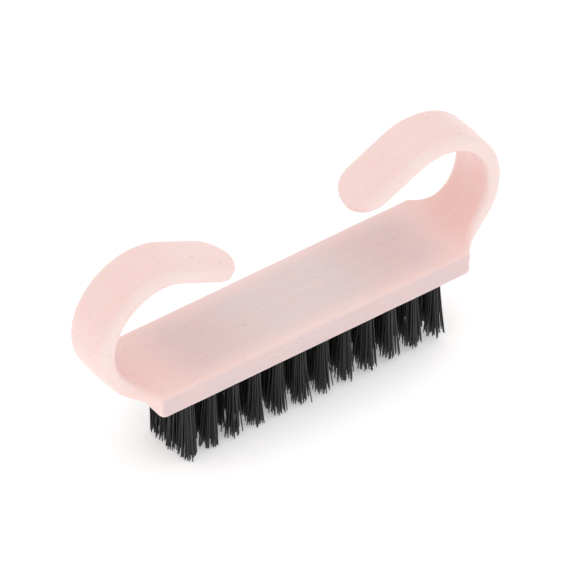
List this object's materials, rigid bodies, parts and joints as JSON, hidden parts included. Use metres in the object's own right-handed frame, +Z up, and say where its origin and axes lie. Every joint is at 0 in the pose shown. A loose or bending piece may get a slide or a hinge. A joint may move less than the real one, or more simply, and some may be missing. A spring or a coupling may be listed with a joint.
{
  "type": "nail brush",
  "caption": "Small nail brush: one-piece translucent plastic bar handle with a curled finger hook at each end, and stapled tufts of black nylon bristle underneath.",
  "frame": {"origin": "on the plane of the bristle tips, under the middle of the bar", "axes": "+X along the bar towards one hook, +Y across the bar, +Z up from the bristle tips to the hooks"},
  "size_m": [0.0702, 0.0152, 0.0352],
  "materials": {
    "handle_plastic": "translucent pink, satin gloss",
    "bristle": "black nylon filament",
    "staple_metal": "bright flat wire"
  },
  "bodies": {
    "root": {"handle": "handle_plastic", "anchor_staples": "staple_metal", "tuft_row1_01": "bristle", "tuft_row2_01": "bristle", "tuft_row3_01": "bristle", "tuft_row4_01": "bristle", "tuft_row1_02": "bristle", "tuft_row2_02": "bristle", "tuft_row3_02": "bristle", "tuft_row4_02": "bristle", "tuft_row1_03": "bristle", "tuft_row2_03": "bristle", "tuft_row3_03": "bristle", "tuft_row4_03": "bristle", "tuft_row1_04": "bristle", "tuft_row2_04": "bristle", "tuft_row3_04": "bristle", "tuft_row4_04": "bristle", "tuft_row1_05": "bristle", "tuft_row2_05": "bristle", "tuft_row3_05": "bristle", "tuft_row4_05": "bristle", "tuft_row1_06": "bristle", "tuft_row2_06": "bristle", "tuft_row3_06": "bristle", "tuft_row4_06": "bristle", "tuft_row1_07": "bristle", "tuft_row2_07": "bristle", "tuft_row3_07": "bristle", "tuft_row4_07": "bristle", "tuft_row1_08": "bristle", "tuft_row2_08": "bristle", "tuft_row3_08": "bristle", "tuft_row4_08": "bristle", "tuft_row1_09": "bristle", "tuft_row2_09": "bristle", "tuft_row3_09": "bristle", "tuft_row4_09": "bristle", "tuft_row1_10": "bristle", "tuft_row2_10": "bristle", "tuft_row3_10": "bristle", "tuft_row4_10": "bristle", "tuft_row1_11": "bristle", "tuft_row2_11": "bristle", "tuft_row3_11": "bristle", "tuft_row4_11": "bristle", "tuft_row1_12": "bristle", "tuft_row2_12": "bristle", "tuft_row3_12": "bristle", "tuft_row4_12": "bristle"}
  },
  "joints": []
}
